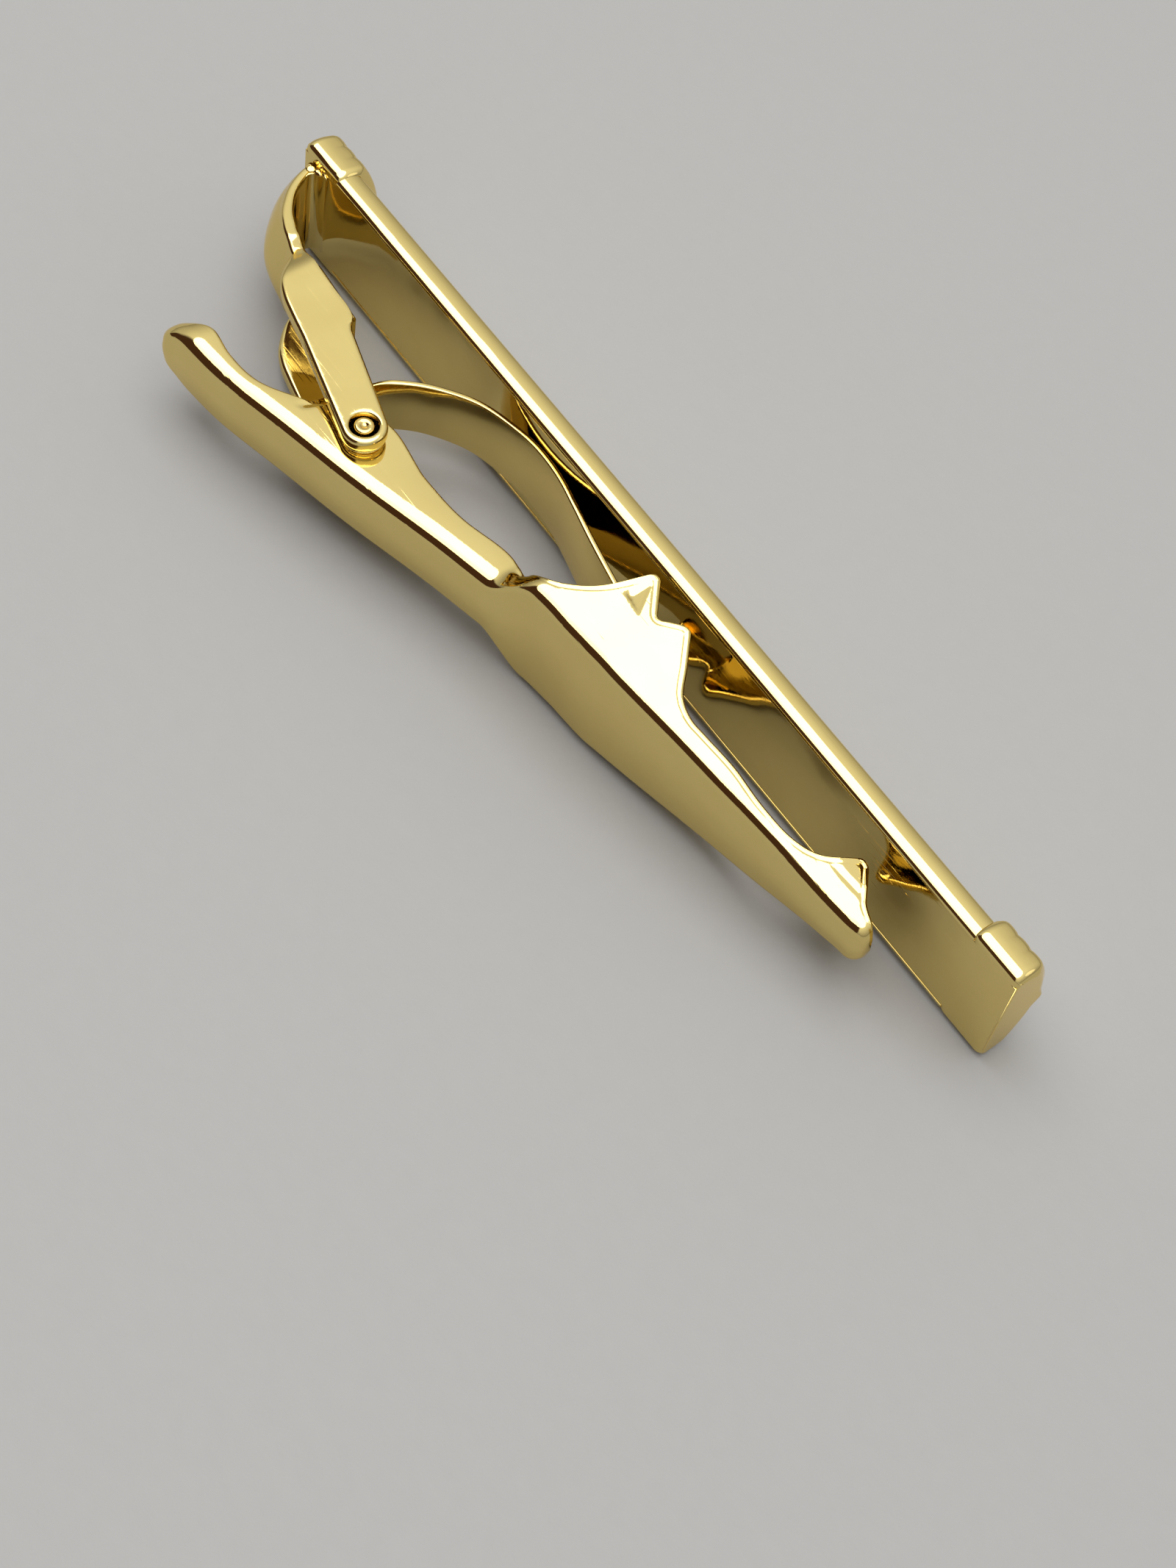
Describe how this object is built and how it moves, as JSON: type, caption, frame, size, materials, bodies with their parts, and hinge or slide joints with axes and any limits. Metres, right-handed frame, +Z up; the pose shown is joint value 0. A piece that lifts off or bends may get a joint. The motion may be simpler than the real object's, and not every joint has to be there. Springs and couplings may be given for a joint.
{
  "type": "tie clip",
  "caption": "Spring tie clip: a slim domed bar with end caps, a goose-neck bracket, a toothed channel lever on a rivet and a bowed leaf spring that keeps the jaw shut.",
  "frame": {"origin": "under the middle of the clip's footprint, on the surface that it lies on", "axes": "+X along the bar from the bracket end to the jaw end, +Y out of the bar's domed front, +Z up across the width of the clip as it lies on its long side"},
  "size_m": [0.056, 0.0142, 0.0076],
  "materials": {
    "polished_gold": "polished gold plate",
    "mirror_gold": "mirror gold plate with fine lengthwise marks",
    "satin_gold": "soft polished gold plate",
    "rivet_brass": "turned brass",
    "brushed_gold": "polished edges, brushed back",
    "spring_gold": "polished spring strip"
  },
  "bodies": {
    "bar": {"front_shell": "polished_gold", "back_plate": "mirror_gold", "bracket_end_cap": "polished_gold", "jaw_end_cap": "polished_gold", "bracket": "satin_gold", "pivot_rivet": "rivet_brass", "upper_washer": "rivet_brass", "lower_washer": "rivet_brass", "leaf_spring": "spring_gold"},
    "lever": {"lever": "brushed_gold"}
  },
  "joints": [
    {"name": "lever_pivot", "type": "hinge", "parent": "bar", "child": "lever", "pos_m": [-0.01214, -0.00257, 0.0038], "axis": [0, 0, -1], "range_deg": [0, 20], "stiffness_Nm_per_rad": 0.05, "springref_deg": -17.19, "deforming": ["leaf_spring"]}
  ]
}
